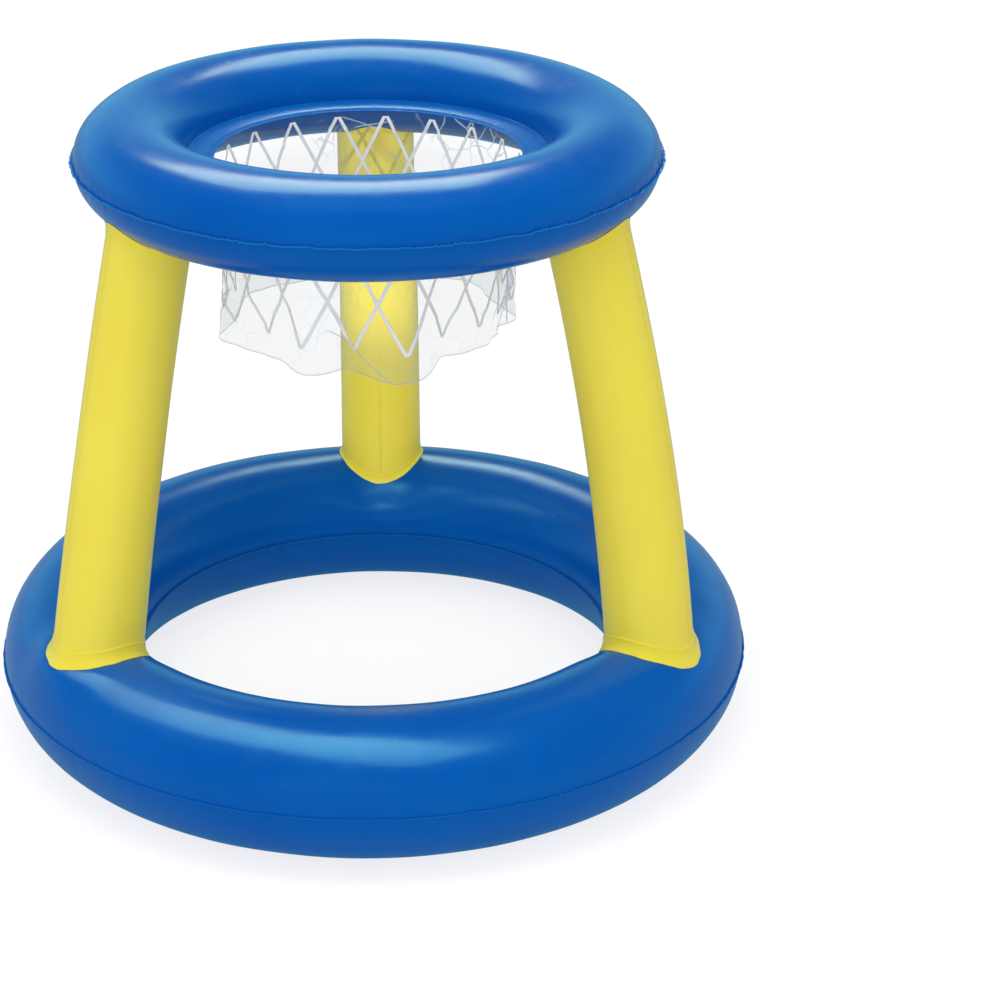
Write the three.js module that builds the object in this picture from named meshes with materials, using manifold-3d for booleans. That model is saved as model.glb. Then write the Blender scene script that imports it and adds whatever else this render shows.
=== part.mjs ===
// An inflatable hoop for the pool: a wide base ring that stands or floats, three bowed legs,
// a smaller hoop ring on top of them, and a clear film skirt that hangs in the hoop as its net.
// Millimetres, +Z up, origin on the floor at the middle of the base ring.
import * as THREE from 'three';
import { mergeVertices } from 'three/addons/utils/BufferGeometryUtils.js';
import Module from 'manifold-3d';

const wasm = await Module();
wasm.setup();

// Film and welds
const FILM = 0.8;
const WELD_CLEARANCE = 0.3;
const CUT_OVERRUN = 4;
const SNAP_DISTANCE = 0.0001;

// Base ring
const BASE_OUTER_DIAMETER = 610;
const BASE_TUBE_WIDTH = 109;
const BASE_TUBE_HEIGHT = 115;
const BASE_SEAM_WIDTH = 3;

// Hoop ring, its outer weld and the flat inner flange that carries the skirt
const HOOP_CENTRE_DIAMETER = 365;
const HOOP_CENTRE_HEIGHT = 470.5;
const HOOP_TUBE_WIDTH = 86;
const HOOP_TUBE_HEIGHT = 75;
const HOOP_SEAM_WIDTH = 3.5;
const HOOP_FLANGE_WIDTH = 18;

// Legs: they narrow from foot to top. Each is bowed outwards by its own amount, and the rear one
// is welded on a little off its even spacing.
const LEG_FOOT_DIAMETER = 70;
const LEG_TOP_DIAMETER = 64;
const LEG_TOP_SET_OUT = 6;
const LEG_SEAM_WIDTH = 1.5;
const LEGS = [
  { name: 'rear_leg', azimuth: 88.5, bow: 5 },
  { name: 'left_leg', azimuth: 210, bow: 2.5 },
  { name: 'right_leg', azimuth: 330, bow: 7 },
];
const AIR_HOLE_DIAMETER = 12;

// Welded collars at both ends of a leg: a straight neck, then a flare that curves out to the rim
const FOOT_COLLAR_FLARE = 4.5;
const FOOT_COLLAR_HEIGHT = 15;
const TOP_COLLAR_FLARE = 2;
const TOP_COLLAR_HEIGHT = 8;
const COLLAR_WALL = 1.1;
const COLLAR_RIM = 0.9;
const COLLAR_SHOULDER = 5;
const COLLAR_NECK_SHARE = 0.5;
const COLLAR_CURVE_SHARE = 0.25;

// Film skirt: it hangs in broad lobes with finer ripples on them, and sways to one side
const SKIRT_WELD_WIDTH = 9;
const SKIRT_EDGE_SETBACK = 0.5;
const SKIRT_LENGTH = 138;
const SKIRT_DRAW_IN = 8;
const SKIRT_LOBES = 4;
const SKIRT_LOBE_DEPTH = 9;
const SKIRT_LOBE_AZIMUTH = 278;
const SKIRT_SWAY = 5;
const SKIRT_SWAY_AZIMUTH = 210;
const SKIRT_RIPPLES = 9;
const SKIRT_RIPPLE_DEPTH = 2.4;
const SKIRT_RIPPLE_AZIMUTH = 35;
const SKIRT_HEM_WAVE = 3;
const SKIRT_HEM_AZIMUTH = 355;

// Valves
const VALVE_DISC_DIAMETER = 24;
const VALVE_DISC_THICKNESS = 1.2;
const VALVE_SLEEVE_DEPTH = 8;
const VALVE_WALL = 1.1;
const VALVE_STEM_DIAMETER = 10.8;
const VALVE_BORE_DIAMETER = 7.2;
const VALVE_TRAVEL = 9;
const VALVE_RUNNING_GAP = 0.3;
const VALVE_HEAD_DIAMETER = 14;
const VALVE_HEAD_THICKNESS = 1.2;
const VALVE_BEAD_THICKNESS = 1.2;
const VALVE_HINGE_OFFSET = 9.2;
const VALVE_STRAP_WIDTH = 4;
const VALVE_LUG_REACH = 1.2;
const STOPPER_CAP_DIAMETER = 12;
const STOPPER_CAP_THICKNESS = 1.4;
const STOPPER_PLUG_DEPTH = 3;
const STOPPER_TIP_TAPER = 0.5;
const FLAP_THICKNESS = 0.6;
const BASE_VALVE_AZIMUTH = 157.5;
const HOOP_VALVE_AZIMUTH = 30;

// Facets
const RING_FACETS = 42;
const ARC_FACETS = 9;
const LEG_ARC_FACETS = 7;
const LEG_STATIONS = 7;
const COLLAR_FACETS = 16;
const SKIRT_FACETS = 72;
const SKIRT_ROWS = 5;
const VALVE_FACETS = 12;

const degrees = THREE.MathUtils.degToRad;

// Closed bodies and cuts

function toSolid(geometry) {
  const bare = geometry.clone();
  bare.deleteAttribute('normal');
  bare.deleteAttribute('uv');
  const merged = mergeVertices(bare, SNAP_DISTANCE);
  return new wasm.Manifold(new wasm.Mesh({
    numProp: 3,
    vertProperties: merged.attributes.position.array,
    triVerts: Uint32Array.from(merged.index.array),
  }));
}

function toGeometry(solid) {
  const mesh = solid.getMesh();
  const geometry = new THREE.BufferGeometry();
  const position = new THREE.BufferAttribute(Float32Array.from(mesh.vertProperties), 3);
  geometry.setAttribute('position', position);
  geometry.setIndex(new THREE.BufferAttribute(Uint32Array.from(mesh.triVerts), 1));
  geometry.computeVertexNormals();
  return geometry;
}

// Turns a closed outline of (radius, height) points round the Z axis
function revolve(outline, facets) {
  const geometry = new THREE.LatheGeometry([...outline, outline[0]], facets);
  return geometry.rotateX(Math.PI / 2);
}

// Joins a row of matching closed outlines and caps both ends
function loft(outlines, capOutline) {
  const count = capOutline.length;
  const index = [];
  for (let row = 0; row < outlines.length - 1; row += 1) {
    for (let side = 0; side < count; side += 1) {
      const a = row * count + side;
      const b = row * count + ((side + 1) % count);
      index.push(a, b, b + count);
      index.push(a, b + count, a + count);
    }
  }
  const last = (outlines.length - 1) * count;
  for (const [a, b, c] of THREE.ShapeUtils.triangulateShape(capOutline, [])) {
    index.push(c, b, a);
    index.push(last + a, last + b, last + c);
  }
  const geometry = new THREE.BufferGeometry();
  const position = outlines.flat().flatMap((p) => p.toArray());
  geometry.setAttribute('position', new THREE.Float32BufferAttribute(position, 3));
  geometry.setIndex(index);
  return geometry;
}

function verticalCylinder(diameter, height, facets) {
  return new THREE.CylinderGeometry(diameter / 2, diameter / 2, height, facets).rotateX(Math.PI / 2);
}

// The half shell: one film panel of an inflated tube, with a flat weld seam along each edge

const SEAT = WELD_CLEARANCE / 2;
const SEAM_TOP = SEAT + FILM;

function arcPoints(halfWidth, halfHeight, startHeight, facets) {
  const start = Math.asin(startHeight / halfHeight);
  const points = [];
  for (let i = 0; i <= facets; i += 1) {
    const angle = start + ((Math.PI - 2 * start) * i) / facets;
    points.push(new THREE.Vector2(halfWidth * Math.cos(angle), halfHeight * Math.sin(angle)));
  }
  return points;
}

function halfShellOutline(halfWidth, halfHeight, outerSeam, innerSeam, facets) {
  return [
    new THREE.Vector2(halfWidth + outerSeam, SEAT),
    new THREE.Vector2(halfWidth + outerSeam, SEAM_TOP),
    ...arcPoints(halfWidth, halfHeight, SEAM_TOP, facets),
    new THREE.Vector2(-halfWidth - innerSeam, SEAM_TOP),
    new THREE.Vector2(-halfWidth - innerSeam, SEAT),
    ...arcPoints(halfWidth - FILM, halfHeight - FILM, SEAT, facets).reverse(),
  ];
}

// How far the flat crown facet of a panel lies from the seam plane
function crownRise(halfHeight) {
  return Math.max(...arcPoints(halfHeight, halfHeight, SEAM_TOP, ARC_FACETS).map((p) => p.y));
}

const baseRing = {
  centreRadius: (BASE_OUTER_DIAMETER - BASE_TUBE_WIDTH) / 2 - BASE_SEAM_WIDTH,
  centreHeight: crownRise(BASE_TUBE_HEIGHT / 2),
  halfWidth: BASE_TUBE_WIDTH / 2,
  halfHeight: BASE_TUBE_HEIGHT / 2,
  outerSeam: BASE_SEAM_WIDTH,
  innerSeam: BASE_SEAM_WIDTH,
};

const hoopRing = {
  centreRadius: HOOP_CENTRE_DIAMETER / 2,
  centreHeight: HOOP_CENTRE_HEIGHT,
  halfWidth: HOOP_TUBE_WIDTH / 2,
  halfHeight: HOOP_TUBE_HEIGHT / 2,
  outerSeam: HOOP_SEAM_WIDTH,
  innerSeam: HOOP_FLANGE_WIDTH,
};

// One panel of a ring: the upper one, or with side -1 its mirror image below the seam plane
function ringPanel(ring, side) {
  const { halfWidth, halfHeight, outerSeam, innerSeam } = ring;
  const outline = halfShellOutline(halfWidth, halfHeight, outerSeam, innerSeam, ARC_FACETS);
  const placed = outline.map(
    (p) => new THREE.Vector2(ring.centreRadius + p.x, ring.centreHeight + side * p.y),
  );
  return revolve(side > 0 ? placed : placed.reverse(), RING_FACETS);
}

// The inflated ring as one full body, a weld clearance larger than its panels
function ringEnvelope(ring) {
  const halfWidth = ring.halfWidth + WELD_CLEARANCE;
  const halfHeight = ring.halfHeight + WELD_CLEARANCE;
  const upper = arcPoints(halfWidth, halfHeight, SEAM_TOP, ARC_FACETS);
  const lower = upper.map((p) => new THREE.Vector2(p.x, -p.y)).reverse();
  const outline = [...upper, ...lower].map(
    (p) => new THREE.Vector2(ring.centreRadius + p.x, ring.centreHeight + p.y),
  );
  return revolve(outline, RING_FACETS);
}

// Legs, in the plane of their own azimuth: X outwards, Y along the ring

const legFoot = new THREE.Vector3(
  baseRing.centreRadius,
  0,
  baseRing.centreHeight + crownRise(baseRing.halfHeight),
);
const legTop = new THREE.Vector3(
  hoopRing.centreRadius + LEG_TOP_SET_OUT,
  0,
  hoopRing.centreHeight - crownRise(hoopRing.halfHeight),
);
const legLength = legFoot.distanceTo(legTop);

// How deep a leg goes into a ring before it is cut to the ring's surface
const legReachShare = 0.7;
const footReach = legReachShare * baseRing.halfHeight;
const topReach = legReachShare * hoopRing.halfHeight;

// The leg's centre line: straight from foot to top, bowed outwards most at mid height
function legCentre(bow, distance) {
  const share = distance / legLength;
  const centre = legFoot.clone().lerp(legTop, share);
  centre.x += 4 * bow * share * (1 - share);
  return centre;
}

// A place on or round the leg: distance up its centre line, then offsets outwards and sideways
function legPoint(bow, distance, outwards, sideways) {
  const step = FILM;
  const along = legCentre(bow, distance + step).sub(legCentre(bow, distance - step)).normalize();
  const across = new THREE.Vector3(along.z, 0, -along.x);
  const point = legCentre(bow, distance).addScaledVector(across, outwards);
  point.y += sideways;
  return point;
}

function legRadius(distance) {
  return THREE.MathUtils.lerp(LEG_FOOT_DIAMETER, LEG_TOP_DIAMETER, distance / legLength) / 2;
}

function legLoft(bow, outlineAt) {
  const outlines = [];
  for (let i = 0; i < LEG_STATIONS; i += 1) {
    const share = i / (LEG_STATIONS - 1);
    const distance = THREE.MathUtils.lerp(-footReach, legLength + topReach, share);
    outlines.push(outlineAt(legRadius(distance)).map((p) => legPoint(bow, distance, p.x, p.y)));
  }
  return loft(outlines, outlineAt(legRadius(0)));
}

// The full body of a ring, turned into the frame of a leg
function ringBeside(ring, azimuth) {
  return toSolid(ringEnvelope(ring).rotateZ(-degrees(azimuth)));
}

// Half of the leg's tube, coped at both ends to the rings that it is welded to
function legPanel({ azimuth, bow }, side) {
  const outlineAt = (radius) => {
    const outline = halfShellOutline(radius, radius, LEG_SEAM_WIDTH, LEG_SEAM_WIDTH, LEG_ARC_FACETS);
    const placed = outline.map((p) => new THREE.Vector2(p.x, side * p.y));
    return side > 0 ? placed : placed.reverse();
  };
  const tube = toSolid(legLoft(bow, outlineAt));
  return toGeometry(tube.subtract(ringBeside(baseRing, azimuth)).subtract(ringBeside(hoopRing, azimuth)));
}

// The whole leg with its seams as one full body, a weld clearance larger
function legEnvelope(bow) {
  const seamHalf = SEAM_TOP + WELD_CLEARANCE;
  const outlineAt = (radius) => {
    const full = radius + WELD_CLEARANCE;
    const reach = full + LEG_SEAM_WIDTH;
    const upper = [
      new THREE.Vector2(reach, seamHalf),
      ...arcPoints(full, full, seamHalf, LEG_ARC_FACETS),
      new THREE.Vector2(-reach, seamHalf),
    ];
    const lower = upper.map((p) => new THREE.Vector2(p.x, -p.y)).reverse();
    return [...upper, ...lower];
  };
  return toSolid(legLoft(bow, outlineAt));
}

// How far up the leg's centre line a line beside it comes out of the ring
function surfaceDistance(ring, bow, start, direction, outwards, sideways) {
  const inside = (distance) => {
    const p = legPoint(bow, distance, outwards, sideways);
    const across = (Math.hypot(p.x, p.y) - ring.centreRadius) / ring.halfWidth;
    const up = (p.z - ring.centreHeight) / ring.halfHeight;
    return across * across + up * up < 1;
  };
  let low = start - direction * legReachShare * ring.halfHeight;
  let high = start + direction * ring.halfHeight;
  while (Math.abs(high - low) > SNAP_DISTANCE) {
    const middle = (low + high) / 2;
    if (inside(middle)) {
      low = middle;
    } else {
      high = middle;
    }
  }
  return low;
}

// Unit points round a leg: evenly spaced, with two more close beside each of its seams
function collarCircle(radius) {
  const shoulder = COLLAR_SHOULDER / radius;
  const turns = [0, shoulder];
  for (let i = 1; i < COLLAR_FACETS / 2; i += 1) {
    turns.push((2 * Math.PI * i) / COLLAR_FACETS);
  }
  turns.push(Math.PI - shoulder);
  return [...turns, ...turns.map((turn) => turn + Math.PI)].map((turn) => ({
    x: Math.cos(turn),
    y: Math.sin(turn),
    onSeam: turn % Math.PI === 0,
  }));
}

// A film collar round the end of a leg: a neck that flares out onto the ring, cut to the saddle
// that leg and ring form together, and raised in a ridge over the leg's two seams.
// Direction 1 is the foot, -1 the top.
function legCollar({ azimuth, bow }, direction, flare, height) {
  const ring = direction > 0 ? baseRing : hoopRing;
  const start = direction > 0 ? 0 : legLength;
  const circle = collarCircle(legRadius(start));
  const outlineAt = (offset, rise, seamOffset) => circle.map(({ x, y, onSeam }) => {
    const radius = legRadius(start) + (onSeam ? seamOffset : offset);
    const surface = surfaceDistance(ring, bow, start, direction, radius * x, radius * y);
    return legPoint(bow, surface + direction * rise, radius * x, radius * y);
  });
  const rows = [
    [flare, -CUT_OVERRUN],
    [flare, COLLAR_RIM],
    [(flare + COLLAR_WALL) / 2, height * COLLAR_CURVE_SHARE],
    [COLLAR_WALL, height * COLLAR_NECK_SHARE],
    [COLLAR_WALL, height],
  ];
  const ridge = COLLAR_WALL + LEG_SEAM_WIDTH;
  const outlines = rows.map(([offset, rise]) => outlineAt(offset, rise, Math.max(offset, ridge)));
  outlines.push(outlineAt(-CUT_OVERRUN, height, -CUT_OVERRUN));
  const outline = circle.map(({ x, y }) => new THREE.Vector2(x, y));
  const blank = toSolid(loft(direction > 0 ? outlines : outlines.reverse(), outline));
  return toGeometry(blank.subtract(legEnvelope(bow)).subtract(ringBeside(ring, azimuth)));
}

// Film skirt: welded flat under the hoop's flange, bent down at its edge, and hanging in folds

const skirtTop = hoopRing.centreHeight - SEAM_TOP - WELD_CLEARANCE;
const skirtRadius = hoopRing.centreRadius - hoopRing.halfWidth - HOOP_FLANGE_WIDTH - SKIRT_EDGE_SETBACK;

// Inner face of the hanging film at an azimuth, fall counted from 0 at the bend to 1 at the hem
function skirtWall(azimuth, fall) {
  const lobes = SKIRT_LOBE_DEPTH * Math.cos(SKIRT_LOBES * (azimuth - degrees(SKIRT_LOBE_AZIMUTH)));
  const sway = SKIRT_SWAY * Math.cos(azimuth - degrees(SKIRT_SWAY_AZIMUTH));
  const ripples = SKIRT_RIPPLE_DEPTH * Math.cos(SKIRT_RIPPLES * (azimuth - degrees(SKIRT_RIPPLE_AZIMUTH)));
  const hem = SKIRT_HEM_WAVE * Math.cos(SKIRT_LOBES * (azimuth - degrees(SKIRT_HEM_AZIMUTH)));
  const swing = (lobes + sway) * fall * fall + ripples * Math.sqrt(fall) * fall;
  return {
    radius: skirtRadius - SKIRT_DRAW_IN * fall + swing,
    height: skirtTop - FILM - (SKIRT_LENGTH + hem) * fall,
  };
}

function netSkirt() {
  const columns = [];
  for (let i = 0; i < SKIRT_FACETS; i += 1) {
    const azimuth = (2 * Math.PI * i) / SKIRT_FACETS;
    const weldEdge = skirtRadius + SKIRT_EDGE_SETBACK + SKIRT_WELD_WIDTH;
    const inner = [
      { radius: weldEdge, height: skirtTop },
      { radius: skirtRadius, height: skirtTop },
    ];
    const outer = [
      { radius: weldEdge, height: skirtTop - FILM },
      { radius: skirtRadius + FILM, height: skirtTop - FILM },
    ];
    for (let row = 1; row <= SKIRT_ROWS; row += 1) {
      const wall = skirtWall(azimuth, row / SKIRT_ROWS);
      inner.push(wall);
      outer.push({ radius: wall.radius + FILM, height: wall.height });
    }
    columns.push([...inner, ...outer.reverse()].map(
      (p) => [p.radius * Math.cos(azimuth), p.radius * Math.sin(azimuth), p.height],
    ));
  }
  const count = columns[0].length;
  const index = [];
  for (let i = 0; i < SKIRT_FACETS; i += 1) {
    for (let j = 0; j < count; j += 1) {
      const next = (i + 1) % SKIRT_FACETS;
      const a = i * count + j;
      const b = i * count + ((j + 1) % count);
      const c = next * count + j;
      const d = next * count + ((j + 1) % count);
      index.push(a, d, b);
      index.push(a, c, d);
    }
  }
  const geometry = new THREE.BufferGeometry();
  geometry.setAttribute('position', new THREE.Float32BufferAttribute(columns.flat(2), 3));
  geometry.setIndex(index);
  geometry.computeVertexNormals();
  return geometry;
}

// Valve, with its axis on Z and height 0 on the outer face of the panel that holds it

const sleeveInner = VALVE_STEM_DIAMETER / 2 + VALVE_RUNNING_GAP;
const sleeveOuter = sleeveInner + VALVE_WALL;
const discTop = WELD_CLEARANCE + VALVE_DISC_THICKNESS;
const headBottom = discTop + VALVE_RUNNING_GAP;
const headTop = headBottom + VALVE_HEAD_THICKNESS;
const beadTop = -VALVE_SLEEVE_DEPTH - VALVE_RUNNING_GAP - VALVE_TRAVEL;
const stemBottom = beadTop - VALVE_BEAD_THICKNESS;
const capBottom = headTop + VALVE_RUNNING_GAP;
const plugRadius = VALVE_BORE_DIAMETER / 2 - VALVE_RUNNING_GAP;
const valveHoleDiameter = 2 * (sleeveOuter + WELD_CLEARANCE);

function outlineOf(pairs) {
  return pairs.map(([radius, height]) => new THREE.Vector2(radius, height));
}

// A flat bar from the valve's axis side out to the hinge line
function strap(from, to, bottom, thickness) {
  const bar = new THREE.BoxGeometry(to - from, VALVE_STRAP_WIDTH, thickness);
  return toSolid(bar.translate((from + to) / 2, 0, bottom + thickness / 2));
}

// Disc welded on the panel, with the sleeve in which the stem slides
function valveCollar() {
  return revolve(outlineOf([
    [sleeveInner, discTop],
    [sleeveInner, -VALVE_SLEEVE_DEPTH],
    [sleeveOuter, -VALVE_SLEEVE_DEPTH],
    [sleeveOuter, WELD_CLEARANCE],
    [VALVE_DISC_DIAMETER / 2, WELD_CLEARANCE],
    [VALVE_DISC_DIAMETER / 2, discTop],
  ]), VALVE_FACETS);
}

// Stem with its bore, a head that stops it going in and a bead that stops it coming out
function valveStem() {
  const tube = toSolid(revolve(outlineOf([
    [VALVE_BORE_DIAMETER / 2, headTop],
    [VALVE_BORE_DIAMETER / 2, stemBottom],
    [sleeveOuter, stemBottom],
    [sleeveOuter, beadTop],
    [VALVE_STEM_DIAMETER / 2, beadTop],
    [VALVE_STEM_DIAMETER / 2, headBottom],
    [VALVE_HEAD_DIAMETER / 2, headBottom],
    [VALVE_HEAD_DIAMETER / 2, headTop],
  ]), VALVE_FACETS));
  const lug = strap(
    VALVE_STEM_DIAMETER / 2,
    VALVE_HINGE_OFFSET + VALVE_LUG_REACH,
    headBottom,
    VALVE_HEAD_THICKNESS,
  );
  return toGeometry(tube.add(lug));
}

// Stopper: a tapered plug under a round cap, on a strap that bends at the hinge line
function valveStopper() {
  const cap = toSolid(new THREE.LatheGeometry(outlineOf([
    [0, capBottom - STOPPER_PLUG_DEPTH],
    [plugRadius - STOPPER_TIP_TAPER, capBottom - STOPPER_PLUG_DEPTH],
    [plugRadius, capBottom],
    [STOPPER_CAP_DIAMETER / 2, capBottom],
    [STOPPER_CAP_DIAMETER / 2, capBottom + STOPPER_CAP_THICKNESS],
    [0, capBottom + STOPPER_CAP_THICKNESS],
  ]), VALVE_FACETS).rotateX(Math.PI / 2));
  const arm = strap(0, VALVE_HINGE_OFFSET, capBottom, STOPPER_CAP_THICKNESS / 2);
  return toGeometry(cap.add(arm));
}

// Non-return flap under the stem's inner end, hinged at its edge
function valveFlap() {
  const top = stemBottom - VALVE_RUNNING_GAP;
  const radius = VALVE_BORE_DIAMETER / 2 + VALVE_WALL;
  const disc = verticalCylinder(2 * radius, FLAP_THICKNESS, VALVE_FACETS);
  const round = toSolid(disc.translate(0, 0, top - FLAP_THICKNESS / 2));
  const tab = strap(0, sleeveOuter, top - FLAP_THICKNESS, FLAP_THICKNESS);
  return toGeometry(round.add(tab));
}

// Cuts a round hole through a ring's crown
function holeAt(ring, side, azimuth, diameter, facets) {
  const height = ring.centreHeight + side * crownRise(ring.halfHeight);
  const cutter = verticalCylinder(diameter, 2 * CUT_OVERRUN, facets);
  return toSolid(cutter.translate(ring.centreRadius, 0, height).rotateZ(degrees(azimuth)));
}

// Materials

function vinyl(colour) {
  return new THREE.MeshStandardMaterial({ color: colour, roughness: 0.28, metalness: 0 });
}

function clearVinyl(opacity) {
  return new THREE.MeshStandardMaterial({
    color: '#eaf1f8',
    roughness: 0.15,
    metalness: 0,
    transparent: true,
    opacity,
  });
}

function piece(name, geometry, material) {
  const mesh = new THREE.Mesh(geometry, material);
  mesh.name = name;
  return mesh;
}

// Assembly

const BLUE = '#005fb9';
const YELLOW = '#e8d94f';
const SKIRT_OPACITY = 0.35;
const VALVE_OPACITY = 0.8;

const hoop = new THREE.Group();

let baseUpper = toSolid(ringPanel(baseRing, 1));
for (const leg of LEGS) {
  baseUpper = baseUpper.subtract(holeAt(baseRing, 1, leg.azimuth, AIR_HOLE_DIAMETER, VALVE_FACETS));
}
baseUpper = baseUpper.subtract(holeAt(baseRing, 1, BASE_VALVE_AZIMUTH, valveHoleDiameter, VALVE_FACETS));
hoop.add(piece('base_ring_upper_panel', toGeometry(baseUpper), vinyl(BLUE)));
hoop.add(piece('base_ring_lower_panel', ringPanel(baseRing, -1), vinyl(BLUE)));

const hoopLower = toSolid(ringPanel(hoopRing, -1));
const hoopValveHole = holeAt(hoopRing, -1, HOOP_VALVE_AZIMUTH, valveHoleDiameter, VALVE_FACETS);
hoop.add(piece('hoop_ring_upper_panel', ringPanel(hoopRing, 1), vinyl(BLUE)));
hoop.add(piece('hoop_ring_lower_panel', toGeometry(hoopLower.subtract(hoopValveHole)), vinyl(BLUE)));

for (const leg of LEGS) {
  const turned = new THREE.Group();
  turned.rotation.z = degrees(leg.azimuth);
  turned.add(piece(`${leg.name}_left_panel`, legPanel(leg, 1), vinyl(YELLOW)));
  turned.add(piece(`${leg.name}_right_panel`, legPanel(leg, -1), vinyl(YELLOW)));
  const footCollar = legCollar(leg, 1, FOOT_COLLAR_FLARE, FOOT_COLLAR_HEIGHT);
  const topCollar = legCollar(leg, -1, TOP_COLLAR_FLARE, TOP_COLLAR_HEIGHT);
  turned.add(piece(`${leg.name}_foot_collar`, footCollar, vinyl(YELLOW)));
  turned.add(piece(`${leg.name}_top_collar`, topCollar, vinyl(YELLOW)));
  hoop.add(turned);
}

hoop.add(piece('net_skirt', netSkirt(), clearVinyl(SKIRT_OPACITY)));

function addValve(name, ring, side, azimuth) {
  const turned = new THREE.Group();
  turned.rotation.z = degrees(azimuth);
  const seat = new THREE.Group();
  seat.position.set(ring.centreRadius, 0, ring.centreHeight + side * crownRise(ring.halfHeight));
  seat.rotation.x = side > 0 ? 0 : Math.PI;
  seat.add(piece(`${name}_collar`, valveCollar(), clearVinyl(VALVE_OPACITY)));
  seat.add(piece(`${name}_stem`, valveStem(), clearVinyl(VALVE_OPACITY)));
  seat.add(piece(`${name}_stopper`, valveStopper(), clearVinyl(VALVE_OPACITY)));
  seat.add(piece(`${name}_flap`, valveFlap(), clearVinyl(VALVE_OPACITY)));
  turned.add(seat);
  hoop.add(turned);
}

addValve('base_valve', baseRing, 1, BASE_VALVE_AZIMUTH);
addValve('hoop_valve', hoopRing, -1, HOOP_VALVE_AZIMUTH);

export default hoop;
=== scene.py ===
import math
import random
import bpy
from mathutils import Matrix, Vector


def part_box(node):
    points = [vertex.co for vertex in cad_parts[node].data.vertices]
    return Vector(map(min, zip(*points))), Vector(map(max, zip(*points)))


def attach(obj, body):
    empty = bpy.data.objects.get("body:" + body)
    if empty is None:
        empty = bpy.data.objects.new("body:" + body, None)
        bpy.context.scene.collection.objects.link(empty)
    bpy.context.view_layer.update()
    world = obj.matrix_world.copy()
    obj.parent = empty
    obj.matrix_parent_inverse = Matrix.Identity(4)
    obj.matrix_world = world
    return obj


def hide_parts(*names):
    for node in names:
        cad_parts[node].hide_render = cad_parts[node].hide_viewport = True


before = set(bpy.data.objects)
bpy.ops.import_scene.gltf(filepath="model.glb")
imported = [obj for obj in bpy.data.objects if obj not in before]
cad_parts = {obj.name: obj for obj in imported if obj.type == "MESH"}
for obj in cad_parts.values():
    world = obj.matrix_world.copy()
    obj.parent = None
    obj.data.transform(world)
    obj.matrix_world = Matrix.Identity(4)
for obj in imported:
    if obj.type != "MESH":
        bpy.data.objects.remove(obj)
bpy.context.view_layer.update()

from types import SimpleNamespace

import bmesh
import bpy
from mathutils import Matrix, Quaternion, Vector, noise

# Camera
# It stands about two metres in front of the hoop and a metre up, and looks down at it through
# a long lens.
camera_distance = 2.1098
camera_height = 1.1281
camera_swing = math.radians(0.3)
camera_yaw = 0.0486 - camera_swing
camera_pitch = 0.4239
camera_roll = 0.0054
camera_aim = Vector((
    math.sin(camera_yaw) * math.cos(camera_pitch),
    math.cos(camera_yaw) * math.cos(camera_pitch),
    -math.sin(camera_pitch),
))
camera_turn = camera_aim.to_track_quat("-Z", "Y") @ Quaternion((0, 0, 1), camera_roll)
bpy.ops.object.camera_add(
    location=(
        camera_distance * math.sin(camera_swing),
        -camera_distance * math.cos(camera_swing),
        camera_height,
    ),
    rotation=camera_turn.to_euler(),
)
bpy.context.object.data.sensor_width = 36
bpy.context.object.data.lens = 102.65
bpy.context.scene.camera = bpy.context.object

# Base ring
# The float: two wide rings of blue vinyl film, cut flat, welded together along both edges and blown
# up to a tube. The outer weld has film to spare once the tube is round, so it is drawn into crimps.
film = 0.00035
weld_seat = 0.00005
ring_arc_vertices = 72

base_ring = SimpleNamespace(
    radius=0.2475,
    height=0.056645,
    half_width=0.0555,
    half_height=0.0575,
    outer_weld=0.0014,
    # Share of the lighter blue painted on the outer weld as a sheen.
    weld_sheen=0.3,
    inner_weld=[(0.0025, False)],
    droop=0,
    steps=540,
    crimp_pitch=0.0085,
    crimp_depth=0.0006,
    crimp_fade=0.005,
    edge_wave=0.0003,
    seed=3.7,
    saddle_pulls=((0.0, -0.28), (0.55, -0.15), (0.15, -0.38)),
)

weld_groove = 0.00012
weld_groove_side = 0.0003
film_slack = 0.0003
merge_distance = 0.000005
# Share of the lighter blue painted on an inner weld as a sheen; each ring sets its outer weld's own share.
inner_weld_sheen = 0.4

leg_azimuths = [math.radians(88.5), math.radians(210), math.radians(330)]
foot_reach = 0.038
foot_fade = 0.018
foot_lift_share = 0.85
foot_edge_share = 0.15
crimp_rest = 0.3
crimp_lift = 1.6


def start_piece():
    bpy.ops.object.select_all(action="DESELECT")


def edit(piece):
    bpy.ops.object.select_all(action="DESELECT")
    bpy.context.view_layer.objects.active = piece
    piece.select_set(True)
    bpy.ops.object.mode_set(mode="EDIT")
    bpy.ops.mesh.select_mode(type="VERT")


def leave_edit():
    bpy.ops.object.mode_set(mode="OBJECT")


def select_where(piece, test):
    bpy.ops.mesh.select_all(action="DESELECT")
    mesh = bmesh.from_edit_mesh(piece.data)
    for vertex in mesh.verts:
        vertex.select = test(vertex.co)
    mesh.select_flush_mode()
    bmesh.update_edit_mesh(piece.data)


def extrude_point(x, y, z):
    bpy.ops.mesh.extrude_vertices_move(TRANSFORM_OT_translate={"value": (x, y, z)})


def face_outwards(piece, is_right):
    """Merges doubles, makes the faces agree and turns them all if the tested face points in."""
    edit(piece)
    bpy.ops.mesh.select_all(action="SELECT")
    bpy.ops.mesh.remove_doubles(threshold=merge_distance)
    bpy.ops.mesh.normals_make_consistent(inside=False)
    leave_edit()
    if not is_right(piece.data):
        edit(piece)
        bpy.ops.mesh.select_all(action="SELECT")
        bpy.ops.mesh.flip_normals()
        leave_edit()


def apply_modifiers(piece):
    bpy.context.view_layer.objects.active = piece
    for modifier in list(piece.modifiers):
        bpy.ops.object.modifier_apply(modifier=modifier.name)


def give_wall(piece, thickness, offset=-1):
    wall = piece.modifiers.new("wall", "SOLIDIFY")
    wall.thickness = thickness
    wall.offset = offset
    apply_modifiers(piece)


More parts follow.
